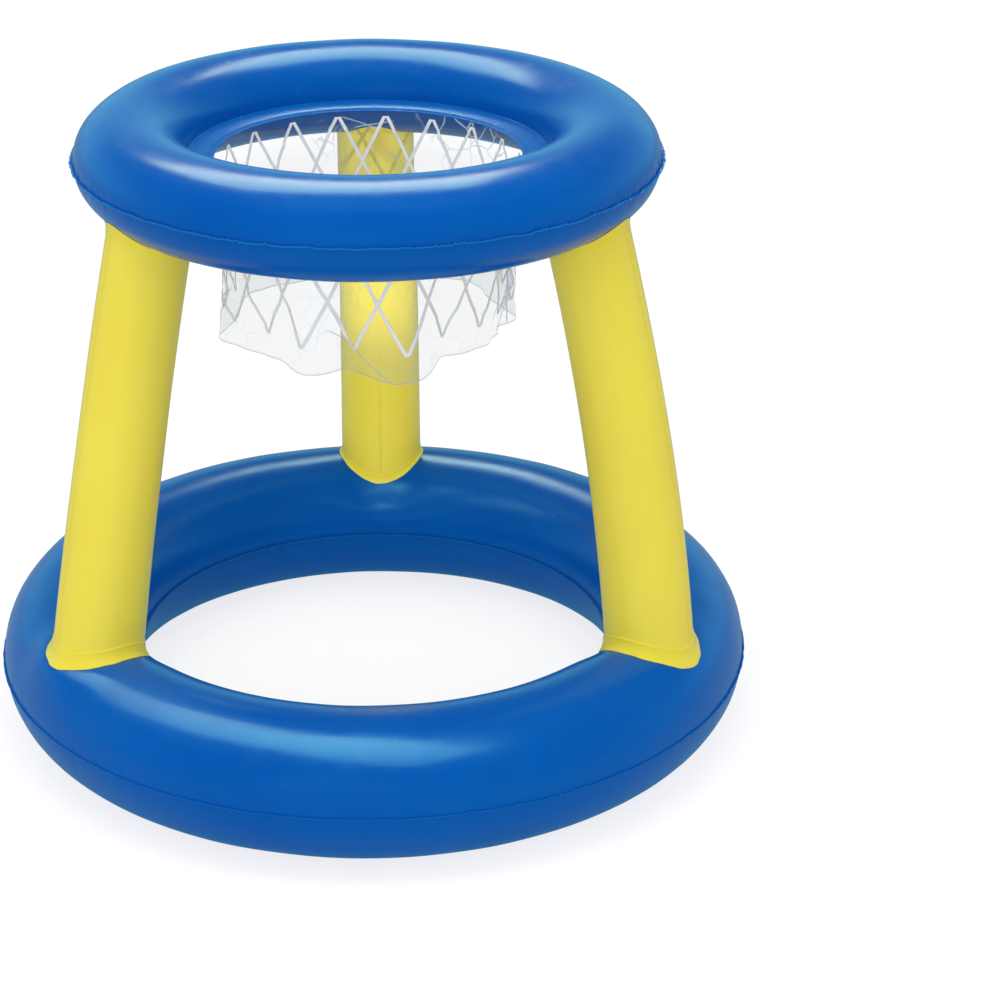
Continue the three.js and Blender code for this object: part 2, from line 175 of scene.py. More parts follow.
def smooth(piece, degrees=35):
    bpy.ops.object.select_all(action="DESELECT")
    bpy.context.view_layer.objects.active = piece
    piece.select_set(True)
    bpy.ops.object.shade_smooth_by_angle(angle=math.radians(degrees))


def hand_over(piece, name, node, body="root"):
    piece.name = name
    piece.data.name = name
    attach(piece, body)
    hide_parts(node)


def ring_half(ring, side):
    """Half a tube's section with its welds, spun round the hoop's axis: one panel of a ring."""
    start_piece()
    seat = side * (weld_seat + film)
    bpy.ops.mesh.primitive_circle_add(
        vertices=ring_arc_vertices,
        radius=1,
        location=(ring.radius, 0, ring.height),
        rotation=(math.pi / 2, 0, 0),
    )
    panel = bpy.context.object
    panel.scale = (ring.half_width, ring.half_height, 1)
    bpy.ops.object.transform_apply(location=True, rotation=True, scale=True)
    edit(panel)
    bpy.ops.mesh.select_all(action="SELECT")
    bpy.ops.mesh.bisect(
        plane_co=(ring.radius, 0, ring.height + seat),
        plane_no=(0, 0, side),
        clear_inner=True,
    )
    near = 1.1 * film

    def at_outer_end(place):
        return place.x > ring.radius and abs(place.z - ring.height - seat) < near

    def at_inner_end(place):
        return place.x < ring.radius and abs(place.z - ring.height - seat) < near

    select_where(panel, at_outer_end)
    extrude_point(ring.outer_weld / 2, 0, 0)
    extrude_point(ring.outer_weld / 2, 0, 0)
    select_where(panel, at_inner_end)
    for reach, welded in ring.inner_weld:
        if welded:
            extrude_point(-weld_groove_side, 0, -side * weld_groove)
            extrude_point(-(reach - 2 * weld_groove_side), 0, 0)
            extrude_point(-weld_groove_side, 0, side * weld_groove)
        else:
            extrude_point(-reach / 2, 0, 0)
            extrude_point(-reach / 2, 0, 0)
    bpy.ops.mesh.select_all(action="SELECT")
    bpy.ops.mesh.spin(steps=ring.steps, angle=2 * math.pi, center=(0, 0, 0), axis=(0, 0, 1))
    leave_edit()

    def crown_points_out(mesh):
        crown = max(mesh.polygons, key=lambda face: side * face.center.z)
        return side * crown.normal.z > 0

    face_outwards(panel, crown_points_out)
    return panel


def noise_round(angle, rate, height):
    """Smooth noise that closes on itself round a tube and changes with the height along it."""
    return noise.noise(Vector((rate * math.cos(angle), rate * math.sin(angle), height)))


def wander(azimuth, rate, seed):
    """Smooth, unrepeating wave round the ring, about -1 to 1."""
    return noise_round(azimuth, rate, seed) * 1.8


def crimp(azimuth, radius, pitch, seed):
    """Narrow folds of uneven pitch and depth along a weld, 0 between them and about 1 at a fold."""
    even_pitch = round(2 * math.pi * radius / pitch) * azimuth
    uneven_pitch = 3.2 * wander(azimuth, 9, seed) + 1.3 * wander(azimuth, 31, seed + 5)
    fold = (0.5 + 0.5 * math.cos(even_pitch + uneven_pitch)) ** 3
    uneven_depth = max(0.1, 0.65 + 0.6 * wander(azimuth, 23, seed + 11))
    return fold * uneven_depth


def leg_lift(ring, x, y):
    """How far a leg's foot draws the film up outside the ring's crown, or presses it down inside."""
    across = math.hypot(x, y) - ring.radius
    share = min(1, abs(across) / ring.half_width)
    fall = ring.half_height * (1 - math.sqrt(1 - min(share, foot_lift_share) ** 2))
    fall *= min(1, (1 - share) / foot_edge_share)
    lift = 0
    for azimuth, (pull_outside, pull_inside) in zip(leg_azimuths, ring.saddle_pulls):
        apart = math.hypot(x - ring.radius * math.cos(azimuth), y - ring.radius * math.sin(azimuth))
        pull = pull_outside if across > 0 else pull_inside
        lift += pull * math.exp(-(max(0, apart - foot_reach) / foot_fade) ** 2)
    return lift * fall


def crimp_ring(panel, ring):
    """Draws the outer weld into crimps, shapes the film under the feet and marks the welds for a painted
    sheen.
    """
    outer_radius = ring.radius + ring.half_width
    weld = panel.data.attributes.new("weld", "FLOAT", "POINT")
    for index, vertex in enumerate(panel.data.vertices):
        place = vertex.co
        azimuth = math.atan2(place.y, place.x)
        radius = math.hypot(place.x, place.y)
        across = radius - ring.radius
        up = place.z - ring.height
        turn = math.atan2(abs(up) / ring.half_height, across / ring.half_width)
        reach = turn * ring.half_width
        fold = crimp(azimuth, outer_radius, ring.crimp_pitch, ring.seed)
        fade = math.exp(-reach / ring.crimp_fade)
        edge = ring.edge_wave * wander(azimuth, 60, ring.seed + 2) * fade
        lift = (fold - crimp_rest) * ring.crimp_depth * crimp_lift * fade
        lift += ring.edge_wave * wander(azimuth, 14, ring.seed + 8) * fade
        hollow = reach / ring.crimp_fade * math.exp(1 - reach / ring.crimp_fade)
        dent = -ring.crimp_depth * fold * hollow
        slack = film_slack * noise.noise(place * 22 + Vector((0, 0, ring.seed)))
        out_x = math.cos(turn)
        out_z = math.copysign(math.sin(turn), up)
        on_tube = abs(across) < ring.half_width
        push = (dent + slack) if on_tube else 0
        radius += edge + push * out_x
        if up > 0 and on_tube:
            place.z += leg_lift(ring, place.x, place.y)
        past_inner = max(0, -across - ring.half_width)
        place.z -= ring.droop * past_inner / sum(reach for reach, _ in ring.inner_weld)
        place.x = radius * math.cos(azimuth)
        place.y = radius * math.sin(azimuth)
        place.z += lift + push * out_z
        place.z = max(place.z, film if ring is base_ring else 0)
        # Marks the welds with their share of the lighter blue, a painted sheen for the light their flat
        # pressed film catches.
        past_outer = across > ring.half_width + ring.outer_weld / 4
        if past_outer:
            weld.data[index].value = ring.weld_sheen
        else:
            weld.data[index].value = inner_weld_sheen if past_inner > 0 else 0.0


def shader(tree, kind, settings=(), **inputs):
    """Adds a shader node; an input is a value, or a socket to link to."""
    made = tree.nodes.new("ShaderNode" + kind)
    for key, value in dict(settings).items():
        setattr(made, key, value)
    for key, value in inputs.items():
        socket = made.inputs[int(key[1:])] if key[1:].isdigit() else made.inputs[key.replace("_", " ")]
        if isinstance(value, bpy.types.NodeSocket):
            tree.links.new(value, socket)
        else:
            socket.default_value = value
    return made


def remapped(tree, value, low, high, at_low, at_high, curve="LINEAR"):
    """Turns a value's range into another, whose ends hold outside it."""
    return shader(
        tree, "MapRange", {"interpolation_type": curve}, Value=value,
        From_Min=low, From_Max=high, To_Min=at_low, To_Max=at_high,
    ).outputs["Result"]


def blended(tree, share, first, second):
    """The first colour where share is 0, the second where it is 1."""
    return shader(tree, "Mix", {"data_type": "RGBA"}, i0=share, i6=first, i7=second).outputs[2]


def calculated(tree, operation, *values):
    inputs = {f"i{index}": value for index, value in enumerate(values)}
    return shader(tree, "Math", {"operation": operation}, **inputs).outputs["Value"]


def scuffed(tree, place, scale, glossy, dull):
    """Roughness that changes from spot to spot with fine scuffs."""
    scuff = shader(tree, "TexNoise", Vector=place, Scale=scale, Detail=5.0, Roughness=0.6)
    return remapped(tree, scuff.outputs["Fac"], 0.3, 0.7, glossy, dull)


def new_material(name):
    material = bpy.data.materials.new(name)
    material.use_nodes = True
    tree = material.node_tree
    surface = tree.nodes["Principled BSDF"]
    return material, tree, surface


def blue_film():
    material, tree, surface = new_material("blue vinyl film")
    place = shader(tree, "TexCoord").outputs["Object"]
    flat = shader(tree, "VectorMath", {"operation": "MULTIPLY"}, i0=place, i1=(1, 1, 0))
    radius = shader(tree, "VectorMath", {"operation": "LENGTH"}, i0=flat.outputs["Vector"])
    height = shader(tree, "SeparateXYZ", Vector=place)
    rings = shader(tree, "CombineXYZ", X=radius.outputs["Value"], Y=height.outputs["Z"], Z=0.0)
    cloud = shader(tree, "TexNoise", Vector=place, Scale=7.0, Detail=3.0)
    tone = remapped(tree, cloud.outputs["Fac"], 0.3, 0.7, 0.0, 1.0)
    body = blended(tree, tone, (0.0, 0.084, 0.415, 1), (0.0, 0.1, 0.45, 1))
    weld = shader(tree, "Attribute", {"attribute_name": "weld"}).outputs["Fac"]
    # The welds are painted a lighter blue: a painted sheen for the light their flat pressed film catches.
    colour = blended(tree, weld, body, (0.01, 0.19, 0.6, 1))
    tree.links.new(colour, surface.inputs["Base Color"])
    tree.links.new(scuffed(tree, place, 60.0, 0.2, 0.28), surface.inputs["Roughness"])
    streak = shader(tree, "TexNoise", Vector=rings.outputs["Vector"], Scale=420.0, Detail=2.0)
    streak_bump = shader(
        tree, "Bump", Strength=0.25, Distance=0.00025, Height=streak.outputs["Fac"],
    )
    grain = shader(tree, "TexNoise", Vector=place, Scale=650.0, Detail=2.0)
    grain_bump = shader(
        tree, "Bump", Strength=0.2, Distance=0.00012, Height=grain.outputs["Fac"],
        Normal=streak_bump.outputs["Normal"],
    )
    pressed = shader(tree, "TexNoise", Vector=place, Scale=420.0, Detail=1.0)
    press_bump = shader(
        tree, "Bump", Strength=0.7, Distance=0.0012,
        Height=calculated(tree, "MULTIPLY", pressed.outputs["Fac"], weld),
        Normal=grain_bump.outputs["Normal"],
    )
    tree.links.new(press_bump.outputs["Normal"], surface.inputs["Normal"])
    surface.inputs["Specular IOR Level"].default_value = 0.42
    surface.inputs["Specular Tint"].default_value = (0.2, 0.8, 1.0, 1)
    return material


blue = blue_film()

for side, half in ((1, "upper"), (-1, "lower")):
    panel = ring_half(base_ring, side)
    crimp_ring(panel, base_ring)
    give_wall(panel, film)
    smooth(panel)
    panel.data.materials.append(blue)
    hand_over(panel, f"base_ring_{half}_film", f"base_ring_{half}_panel")

# Hoop ring
# A smaller tube of the same film. Its outer weld is a narrow crimped lip, and its inner weld is a
# wide flat flange, with a second weld line near the edge where the net's film is held.
hoop_ring = SimpleNamespace(
    radius=0.1825,
    height=0.4705,
    half_width=0.043,
    half_height=0.0375,
    outer_weld=0.0024,
    # Share of the lighter blue painted on the outer lip as a sheen.
    weld_sheen=0.8,
    inner_weld=[(0.0025, True), (0.012, False), (0.003, True), (0.0035, False)],
    droop=0.003,
    steps=600,
    crimp_pitch=0.0055,
    crimp_depth=0.0007,
    crimp_fade=0.0035,
    edge_wave=0.0006,
    seed=11.3,
    saddle_pulls=(),
)

for side, half in ((1, "upper"), (-1, "lower")):
    panel = ring_half(hoop_ring, side)
    crimp_ring(panel, hoop_ring)
    give_wall(panel, film)
    smooth(panel)
    panel.data.materials.append(blue)
    hand_over(panel, f"hoop_ring_{half}_film", f"hoop_ring_{half}_panel")

# Legs
# Three bowed tubes of yellow film, each of a left and a right panel welded along its outward and
# its inward edge. They lean in from the base ring to the hoop ring and narrow on the way.
leg_foot_radius = 0.035
leg_top_radius = 0.032
leg_top_set_out = 0.006
leg_weld = 0.0004
leg_seam_dip = 0.0003
leg_seam_width = 0.002
leg_stations = 64
leg_arc_vertices = 72
legs = [
    SimpleNamespace(name="rear_leg", azimuth=leg_azimuths[0], bow=0.005, flare=0.5, seed=1.9),
    SimpleNamespace(name="left_leg", azimuth=leg_azimuths[1], bow=0.0025, flare=1, seed=4.4),
    SimpleNamespace(name="right_leg", azimuth=leg_azimuths[2], bow=0.007, flare=1, seed=8.2),
]
foot_place = Vector((base_ring.radius, 0, 2 * base_ring.height))
top_place = Vector((
    hoop_ring.radius + leg_top_set_out,
    0,
    hoop_ring.height - hoop_ring.half_height,
))
leg_length = (top_place - foot_place).length
leg_slack = 0.0007
leg_ripple = 0.0002
cope_start = 0.7
cope_rounds = 16


def leg_centre(leg, distance):
    share = distance / leg_length
    centre = foot_place.lerp(top_place, share)
    centre.x += 4 * leg.bow * share * (1 - share)
    return centre


def leg_point(leg, distance, outwards, sideways):
    step = 0.001
    along = (leg_centre(leg, distance + step) - leg_centre(leg, distance - step)).normalized()
    across = Vector((along.z, 0, -along.x))
    point = leg_centre(leg, distance) + across * outwards
    point.y += sideways
    return point


def leg_radius(distance):
    return leg_foot_radius + (leg_top_radius - leg_foot_radius) * distance / leg_length


def surface_distance(ring, leg, start, direction, outwards, sideways):
    """How far up the leg a line beside its centre line comes out of the ring."""
    def inside(distance):
        point = turned(leg_point(leg, distance, outwards, sideways), leg.azimuth)
        share = (math.hypot(point.x, point.y) - ring.radius) / ring.half_width
        if abs(share) >= 1:
            return False
        crown = ring.half_height * math.sqrt(1 - share * share) + leg_lift(ring, point.x, point.y)
        return direction * (point.z - ring.height) < crown

    low = start - direction * cope_start * ring.half_height
    high = start + direction * ring.half_height
    for _ in range(cope_rounds):
        middle = (low + high) / 2
        if inside(middle):
            low = middle
        else:
            high = middle
    return low


def turned(point, azimuth):
    return Matrix.Rotation(azimuth, 3, "Z") @ point


def points_away(leg, distance):
    """A test whether a mesh's faces, all taken together, point away from the leg's centre line."""
    middle = turned(leg_centre(leg, distance), leg.azimuth)

    def test(mesh):
        outward = 0
        for face in mesh.polygons:
            away = face.center - middle
            away.z = 0
            outward += face.area * face.normal.dot(away)
        return outward > 0

    return test


def leg_half(leg, side):
    """Half a tube with weld lips, extruded up the leg and coped to the rings at both ends."""
    start_piece()
    seat = side * (weld_seat + film)
    bpy.ops.mesh.primitive_circle_add(vertices=leg_arc_vertices, radius=leg_foot_radius)
    panel = bpy.context.object
    edit(panel)
    bpy.ops.mesh.select_all(action="SELECT")
    bpy.ops.mesh.bisect(plane_co=(0, seat, 0), plane_no=(0, side, 0), clear_inner=True)
    near = 1.1 * film
    select_where(panel, lambda place: place.x > 0 and abs(place.y - seat) < near)
    extrude_point(leg_weld, 0, 0)
    select_where(panel, lambda place: place.x < 0 and abs(place.y - seat) < near)
    extrude_point(-leg_weld, 0, 0)
    bpy.ops.mesh.select_all(action="SELECT")
    for _ in range(leg_stations):
        bpy.ops.mesh.extrude_edges_move(TRANSFORM_OT_translate={"value": (0, 0, 1 / leg_stations)})
    leave_edit()
    ends = {}
    for vertex in panel.data.vertices:
        place = vertex.co
        angle = math.atan2(place.y, place.x)
        lip = math.hypot(place.x, place.y) - leg_foot_radius
        lip = lip if lip > film / 10 else 0
        key = (round(place.x, 5), round(place.y, 5))
        if key not in ends:
            span = []
            for ring, start, direction in ((base_ring, 0, 1), (hoop_ring, leg_length, -1)):
                radius = leg_radius(start) + lip
                out = (radius * math.cos(angle), radius * math.sin(angle))
                span.append(surface_distance(ring, leg, start, direction, *out))
            ends[key] = span
        low, high = ends[key]
        distance = low + (high - low) * place.z
        slack = leg_slack * noise_round(angle, 1.6, distance * 7 + leg.seed)
        slack += leg_ripple * noise_round(angle, 6, distance * 5 + leg.seed)
        from_seam = leg_foot_radius * math.sin(angle)
        slack -= leg_seam_dip * math.exp(-(from_seam / leg_seam_width) ** 2)
        radius = leg_radius(distance) + lip + slack
        sideways = seat if lip > 0 else radius * math.sin(angle)
        vertex.co = turned(leg_point(leg, distance, radius * math.cos(angle), sideways), leg.azimuth)

    face_outwards(panel, points_away(leg, leg_length / 2))
    return panel


def yellow_film(name, colour, deep):
    material, tree, surface = new_material(name)
    place = shader(tree, "TexCoord").outputs["Object"]
    cloud = shader(tree, "TexNoise", Vector=place, Scale=9.0, Detail=3.0)
    tone = remapped(tree, cloud.outputs["Fac"], 0.3, 0.7, 0.0, 1.0)
    tree.links.new(blended(tree, tone, deep, colour), surface.inputs["Base Color"])
    tree.links.new(scuffed(tree, place, 70.0, 0.3, 0.38), surface.inputs["Roughness"])
    grain = shader(tree, "TexNoise", Vector=place, Scale=650.0, Detail=2.0)
    bump = shader(tree, "Bump", Strength=0.2, Distance=0.00012, Height=grain.outputs["Fac"])
    tree.links.new(bump.outputs["Normal"], surface.inputs["Normal"])
    return material


yellow = yellow_film("yellow vinyl film", (0.91, 0.77, 0.068, 1), (0.88, 0.72, 0.058, 1))

for leg in legs:
    for side, half in ((1, "left"), (-1, "right")):
        panel = leg_half(leg, side)
        give_wall(panel, film)
        smooth(panel)
        panel.data.materials.append(yellow)
        hand_over(panel, f"{leg.name}_{half}_film", f"{leg.name}_{half}_panel")

# Leg collars
# Each end of a leg stands in a collar of stiffer yellow film: a neck welded round the leg, flared
# out at the ring to a thin lip that is welded down along the saddle where tube meets tube.
collar_columns = 128
foot_collar_rows = [
    (0.0044, 0.0001), (0.0049, 0.0004), (0.0047, 0.0009), (0.0038, 0.0016), (0.0027, 0.0028),
    (0.0018, 0.0046), (0.0011, 0.0070), (0.0008, 0.0094), (0.0009, 0.0104), (0.0007, 0.0112),
    (0.0003, 0.0114), (-0.0002, 0.0112),
]
top_collar_rows = [
    (0.0018, 0.0001), (0.0021, 0.0003), (0.0019, 0.0007), (0.0013, 0.0013), (0.0009, 0.0024),
    (0.0006, 0.0044), (0.0004, 0.0066), (0.0003, 0.0076), (-0.0002, 0.0078),
]
collar_edge_wave = 0.0005


def leg_collar(leg, ring, start, direction, rows):
    """A circle extruded row by row, each row laid at its offset from the leg and the ring."""
    start_piece()
    bpy.ops.mesh.primitive_circle_add(vertices=collar_columns, radius=1)
    collar = bpy.context.object
    edit(collar)
    bpy.ops.mesh.select_all(action="SELECT")
    for _ in rows[1:]:
        bpy.ops.mesh.extrude_edges_move(TRANSFORM_OT_translate={"value": (0, 0, 1)})
    leave_edit()
    for vertex in collar.data.vertices:
        offset, rise = rows[round(vertex.co.z)]
        offset *= leg.flare if offset > 0 else 1
        rise *= leg.flare
        angle = math.atan2(vertex.co.y, vertex.co.x)
        wave = wander(angle, 4, leg.seed + start)
        offset += collar_edge_wave * wave * offset / rows[0][0]
        radius = leg_radius(start) + offset
        surface = surface_distance(
            ring, leg, start, direction, radius * math.cos(angle), radius * math.sin(angle),
        )
        place = leg_point(
            leg, surface + direction * rise, radius * math.cos(angle), radius * math.sin(angle),
        )
        vertex.co = turned(place, leg.azimuth)

    face_outwards(collar, points_away(leg, start))
    return collar


collar_yellow = yellow_film("yellow collar film", (0.9, 0.76, 0.05, 1), (0.87, 0.72, 0.045, 1))

for leg in legs:
    for end, ring, start, direction, rows in (
        ("foot", base_ring, 0, 1, foot_collar_rows),
        ("top", hoop_ring, leg_length, -1, top_collar_rows),
    ):
        collar = leg_collar(leg, ring, start, direction, rows)
        smooth(collar, 50)
        collar.data.materials.append(collar_yellow)
        hand_over(collar, f"{leg.name}_{end}_weld_collar", f"{leg.name}_{end}_collar")

# Net
# One band of thin clear film, welded flat under the hoop's flange, bent over its edge and hanging
# free in creased folds. The net is only printed on it, as white zigzag lines that cross.
skirt_weld_width = 0.009
skirt_columns = 460
skirt_rows = 80
skirt_length = 0.135
skirt_draw_in = 0.008
skirt_hem_wave = 0.0015
skirt_hem_waves = 4
skirt_hem_azimuth = math.radians(355)
skirt_setback = 0.0005
skirt_film = 0.00025
skirt_seat = 0.0003
skirt_ripple = 0.0012
skirt_ripple_rate = 9
skirt_release = 12
skirt_hang_start = 0.001
skirt_middle_height = 0.4
flange_reach = 0.021
skirt_top = hoop_ring.height - hoop_ring.droop - film - weld_seat - skirt_seat
skirt_radius = hoop_ring.radius - hoop_ring.half_width - flange_reach - skirt_setback
skirt_weld_rise = hoop_ring.droop * skirt_weld_width / flange_reach
crease_search = 0.08
hanging_creases = 70
weld_creases = 110
print_peaks = 19
print_peak_azimuth = math.radians(83.3)
print_row_height = 0.0385
print_drop = 0.001
print_first_row = 0.05
print_last_row = 2.98

# Each fold of the hanging film: the azimuth and half width in degrees, and how far its hem is pushed.
skirt_folds = [
    (2, 7, 0.006), (24, 10, -0.005), (48, 11, 0.006), (74, 11, -0.004), (98, 10, 0.006),
    (123, 11, -0.005), (148, 10, 0.005), (172, 9, -0.004), (197, 10, 0.013), (213, 8, 0.004),
    (246, 8, 0.014), (260, 5.5, -0.011), (282, 12, 0.026), (303, 8, -0.011), (318, 8, -0.005),
    (337, 9, -0.008), (352, 7, -0.010),
]

random.seed(5)


def make_crease(azimuth, fall, lean, half_length, half_width, depth):
    """A sharp fold: a line on the flat sheet, leaning so many degrees from straight down."""
    return SimpleNamespace(
        along=math.radians(azimuth) * skirt_radius,
        fall=fall * skirt_length,
        lean=math.radians(lean),
        half_length=half_length,
        half_width=half_width,
        depth=depth,
    )


creases = [
    make_crease(267, 0.86, 49, 0.036, 0.007, 0.005),
    make_crease(262, 0.9, 44, 0.03, 0.006, -0.004),
    make_crease(222, 0.55, -35, 0.03, 0.008, 0.004),
    make_crease(204, 0.35, 40, 0.024, 0.007, 0.0045),
    make_crease(206, 0.7, -30, 0.03, 0.008, 0.004),
    make_crease(330, 0.5, 25, 0.04, 0.008, 0.004),
    make_crease(345, 0.7, 15, 0.035, 0.007, 0.0045),
    make_crease(312, 0.93, -60, 0.018, 0.008, 0.003),
]
for _ in range(hanging_creases):
    creases.append(make_crease(
        azimuth=random.uniform(0, 360),
        fall=random.uniform(0.2, 1.0),
        lean=random.choice((-1, 1)) * random.uniform(10, 60),
        half_length=random.uniform(0.02, 0.06),
        half_width=random.uniform(0.005, 0.014),
        depth=random.choice((-1, 1)) * random.uniform(0.0005, 0.0018),
    ))
for _ in range(weld_creases):
    creases.append(make_crease(
        azimuth=random.uniform(0, 360),
        fall=random.uniform(0.02, 0.16),
        lean=random.choice((-1, 1)) * random.uniform(20, 85),
        half_length=random.uniform(0.006, 0.016),
        half_width=random.uniform(0.002, 0.005),
        depth=random.choice((-1, 1)) * random.uniform(0.0006, 0.0016),
    ))


def crease_push(azimuth, fall):
    girth = 2 * math.pi * skirt_radius
    total = 0
    for crease in creases:
        along = (azimuth * skirt_radius - crease.along + girth / 2) % girth - girth / 2
        if abs(along) > crease_search:
            continue
        down = fall * skirt_length - crease.fall
        run = along * math.sin(crease.lean) + down * math.cos(crease.lean)
        off = along * math.cos(crease.lean) - down * math.sin(crease.lean)
        if abs(off) < crease.half_width and abs(run) < crease.half_length:
            ridge = 1 - abs(off) / crease.half_width
            total += crease.depth * ridge * (1 - (run / crease.half_length) ** 2)
    return total


def skirt_place(azimuth, fall):
    swing = 0
    for fold_azimuth, half_width, depth in skirt_folds:
        apart = (math.degrees(azimuth) - fold_azimuth + 180) % 360 - 180
        swing += depth * math.exp(-(apart / half_width) ** 2)
    hem = skirt_hem_wave * math.cos(skirt_hem_waves * (azimuth - skirt_hem_azimuth))
    free = min(1, fall * skirt_release)
    radius = skirt_radius - skirt_draw_in * fall + swing * fall * fall + crease_push(azimuth, fall) * free
    radius += skirt_ripple * free * noise_round(azimuth, skirt_ripple_rate, fall * skirt_ripple_rate)
    return radius, skirt_top - skirt_film - (skirt_length + hem) * fall


start_piece()
bpy.ops.mesh.primitive_circle_add(
    vertices=skirt_columns, radius=skirt_radius + skirt_setback + skirt_weld_width,
    location=(0, 0, skirt_top + skirt_weld_rise),
)
skirt = bpy.context.object
bpy.ops.object.transform_apply(location=True, rotation=True, scale=True)
edit(skirt)
bpy.ops.mesh.select_all(action="SELECT")
weld_shrink = skirt_radius / (skirt_radius + skirt_setback + skirt_weld_width)
bpy.ops.mesh.extrude_edges_move(TRANSFORM_OT_translate={"value": (0, 0, -skirt_weld_rise)})
bpy.ops.transform.resize(value=(weld_shrink, weld_shrink, 1))
for _ in range(skirt_rows):
    bpy.ops.mesh.extrude_edges_move(
        TRANSFORM_OT_translate={"value": (0, 0, -skirt_length / skirt_rows)}
    )
leave_edit()
print_places = []
for vertex in skirt.data.vertices:
    azimuth = math.atan2(vertex.co.y, vertex.co.x)
    fall = (skirt_top - vertex.co.z) / skirt_length
    across = (azimuth - print_peak_azimuth) * print_peaks / (2 * math.pi)
    on_weld = math.hypot(vertex.co.x, vertex.co.y) > skirt_radius + skirt_setback
    down = -1 if on_weld else (fall * skirt_length - print_drop) / print_row_height
    print_places.append((across, down))
    if fall > skirt_hang_start:
        radius, height = skirt_place(azimuth, fall)
        vertex.co = Vector((radius * math.cos(azimuth), radius * math.sin(azimuth), height))
print_map = skirt.data.uv_layers.new(name="print")
for face in skirt.data.polygons:
    across = [print_places[skirt.data.loops[loop].vertex_index][0] for loop in face.loop_indices]
    for loop in face.loop_indices:
        u, v = print_places[skirt.data.loops[loop].vertex_index]
        if max(across) - u > print_peaks / 2:
            u += print_peaks
        print_map.data[loop].uv = (u, v)


def hangs_outwards(mesh):
    face = max(mesh.polygons, key=lambda face: -abs(face.center.z - skirt_middle_height))
    return face.normal.x * face.center.x + face.normal.y * face.center.y > 0


face_outwards(skirt, hangs_outwards)
give_wall(skirt, skirt_film)
smooth(skirt, 60)


def print_place(tree):
    """Where a spot lies on the print: X in peaks round the hoop, Y in rows down from the flange."""
    return shader(tree, "SeparateXYZ", Vector=shader(tree, "UVMap", {"uv_map": "print"}).outputs["UV"])


def net_print(tree):
    """1 on the printed lines and 0 between them: two crossing sets of slanted lines on the UV map."""
    place = print_place(tree)
    across, down = place.outputs["X"], place.outputs["Y"]
    half_line = 0.078
    blur = 0.012
    masks = []
    for slope in (-1.0, 1.0):
        twice = calculated(tree, "MULTIPLY", across, 2.0)
        lean = calculated(tree, "MULTIPLY_ADD", down, slope, twice)
        wave = calculated(tree, "PINGPONG", lean, 1.0)
        masks.append(remapped(
            tree, wave, half_line - blur, half_line + blur, 1.0, 0.0, curve="SMOOTHSTEP",
        ))
    either = calculated(tree, "MAXIMUM", *masks)
    past_first = calculated(tree, "GREATER_THAN", down, print_first_row)
    before_last = calculated(tree, "LESS_THAN", down, print_last_row)
    band = calculated(tree, "MULTIPLY", past_first, before_last)
    return calculated(tree, "MULTIPLY", either, band)


def crumple_glints(tree, place):
    """Above 0 along a web of sharp little crease lines, strongest near the weld where the film is
    gathered; white glints are painted along them.
    """
    bend = shader(tree, "TexNoise", Vector=place, Scale=28.0, Detail=2.0)
    bent = shader(
        tree, "VectorMath", {"operation": "MULTIPLY_ADD"},
        i0=bend.outputs["Color"], i1=(0.03, 0.03, 0.03), i2=place,
    )
    cells = shader(
        tree, "TexVoronoi", {"feature": "DISTANCE_TO_EDGE"}, Vector=bent.outputs["Vector"], Scale=52.0,
    )
    line = remapped(tree, cells.outputs["Distance"], 0.0, 0.05, 1.0, 0.0)
    patches = shader(tree, "TexNoise", Vector=place, Scale=16.0, Detail=1.0)
    patch = remapped(tree, patches.outputs["Fac"], 0.47, 0.6, 0.0, 1.0)
    gathered = remapped(tree, print_place(tree).outputs["Y"], 0.3, 0.9, 0.75, 0.06)
    here = calculated(tree, "MULTIPLY", patch, gathered)
    return calculated(tree, "MULTIPLY", line, here)


# Hard folds painted as lines of reflection and shade, each from one azimuth and share of the drop to
# another.
fold_lines = [
    ((253, 0.74), (276, 0.98)), ((191, 0.5), (207, 0.63)), ((207, 0.63), (190, 0.82)),
    ((190, 0.82), (196, 1.0)), ((183, 0.55), (200, 0.78)), ((200, 0.78), (193, 0.92)),
    ((345, 0.5), (337, 0.72)), ((337, 0.72), (333, 0.95)), ((352, 0.6), (357, 1.0)),
    ((101, 0.02), (86, 0.1)), ((96, 0.09), (80, 0.05)), ((82, 0.24), (77, 0.29)),
]
fold_line_half_width = 0.022
hem_edge = 0.05


def print_spot(azimuth, fall):
    """A spot on the hanging film in the units of its print."""
    turn = math.radians(azimuth if azimuth <= 180 else azimuth - 360)
    across = (turn - print_peak_azimuth) * print_peaks / (2 * math.pi)
    return Vector((across, (fall * skirt_length - print_drop) / print_row_height, 0))


def painted_fold_lines(tree):
    """1 along the hard folds and a half at the hem's edge, where lines of reflection and shade are
    painted, and 0 elsewhere.
    """
    place = shader(tree, "UVMap", {"uv_map": "print"}).outputs["UV"]
    hem = print_spot(0, 1).y
    total = remapped(tree, print_place(tree).outputs["Y"], hem - hem_edge, hem, 0.0, 0.5)
    for start, end in fold_lines:
        start, end = print_spot(*start), print_spot(*end)
        run = end - start
        along_line = run.normalized()
        off_line = Vector((-along_line.y, along_line.x, 0))
        away = shader(tree, "VectorMath", {"operation": "SUBTRACT"}, i0=place, i1=(start + end) / 2)
        along, off = [
            shader(
                tree, "VectorMath", {"operation": "DOT_PRODUCT"}, i0=away.outputs["Vector"], i1=line,
            ).outputs["Value"]
            for line in (along_line, off_line)
        ]
        length = calculated(tree, "ABSOLUTE", along)
        width = calculated(tree, "ABSOLUTE", off)
        thin = remapped(tree, width, 0.0, fold_line_half_width, 1.0, 0.0)
        ends = remapped(tree, length, 0.4 * run.length, 0.52 * run.length, 1.0, 0.0)
        total = calculated(tree, "MAXIMUM", total, calculated(tree, "MULTIPLY", thin, ends))
    return total


